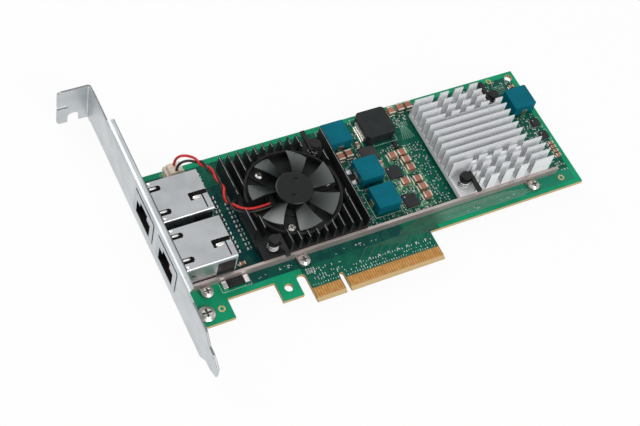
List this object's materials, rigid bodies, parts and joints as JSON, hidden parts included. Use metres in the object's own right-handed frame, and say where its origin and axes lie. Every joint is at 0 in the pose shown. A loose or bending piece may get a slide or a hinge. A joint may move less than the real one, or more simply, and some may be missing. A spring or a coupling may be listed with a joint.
{
  "type": "network interface card",
  "caption": "Low-height plug-in network card with two socket ports in a slot bracket, a fan-cooled heatsink, a finned heatsink, a stiffener bar and a gold card edge.",
  "frame": {"origin": "centre of the key notch at the finger edge, on the component face of the board", "axes": "+X along the board away from the bracket, +Y from the finger edge to the top edge, +Z out of the component face"},
  "size_m": [0.1796, 0.1201, 0.0196],
  "materials": {
    "board": "green solder-resist over glass-fibre board",
    "gold": "gold plate",
    "bracket_steel": "nickel-plated sheet steel, satin",
    "screw_steel": "zinc plate",
    "bar_steel": "satin sheet steel",
    "package": "moulded epoxy",
    "thermal_pad": "soft grey pad",
    "black_anodised": "black anodised extrusion",
    "nylon": "black nylon",
    "spring_steel": "bright spring wire",
    "fan_plastic": "black moulding",
    "bearing_bronze": "sintered bronze",
    "motor_board": "bare board",
    "stator_steel": "laminated steel",
    "magnet": "bonded magnet",
    "shaft_steel": "ground steel",
    "bare_aluminium": "bare satin extrusion",
    "coil_teal": "moulded ferrite in teal resin",
    "tin": "tinned copper",
    "choke_black": "moulded ferrite",
    "ceramic": "fired ceramic with tinned ends",
    "resistor_black": "glazed",
    "connector_ivory": "ivory nylon",
    "lead_red": "red insulation",
    "lead_black": "black insulation",
    "shell_steel": "tin-plated sheet steel",
    "housing_black": "black moulding"
  },
  "bodies": {
    "card": {"circuit_board": "board", "edge_contacts": "gold", "bracket": "bracket_steel", "bracket_screw": "screw_steel", "stiffener_bar": "bar_steel", "stiffener_screws": "screw_steel", "stiffener_nuts": "screw_steel", "controller_chip": "package", "controller_pad": "thermal_pad", "fan_heatsink": "black_anodised", "fan_sink_pins": "nylon", "fan_sink_springs": "spring_steel", "fan_frame": "fan_plastic", "fan_screws": "screw_steel", "fan_bearing": "bearing_bronze", "fan_motor_board": "motor_board", "fan_stator": "stator_steel", "bridge_chip": "package", "bridge_pad": "thermal_pad", "aluminium_heatsink": "bare_aluminium", "cooler_pins": "nylon", "cooler_springs": "spring_steel", "inductor_a": "coil_teal", "inductor_b": "coil_teal", "inductor_c": "coil_teal", "inductor_d": "coil_teal", "inductor_terminals": "tin", "filter_choke": "choke_black", "choke_terminals": "tin", "ceramic_capacitors": "ceramic", "small_capacitors": "ceramic", "termination_resistors": "resistor_black", "regulator_chips": "package", "power_stage_chip": "package", "clock_chips": "package", "transistor": "package", "input_fuse": "package", "sense_resistor": "resistor_black", "fan_header": "connector_ivory", "header_pins": "tin", "fan_plug": "connector_ivory", "fan_lead_red": "lead_red", "fan_lead_black": "lead_black", "port_a_shell": "shell_steel", "port_a_housing": "housing_black", "port_a_contacts": "gold", "port_b_shell": "shell_steel", "port_b_housing": "housing_black", "port_b_contacts": "gold"},
    "rotor": {"fan_rotor": "fan_plastic", "fan_magnet": "magnet", "fan_shaft": "shaft_steel"}
  },
  "joints": [
    {"name": "fan_spin", "type": "hinge", "parent": "card", "child": "rotor", "pos_m": [-0.0046, 0.0408, 0.008], "axis": [0, 0, 1], "continuous": true}
  ]
}
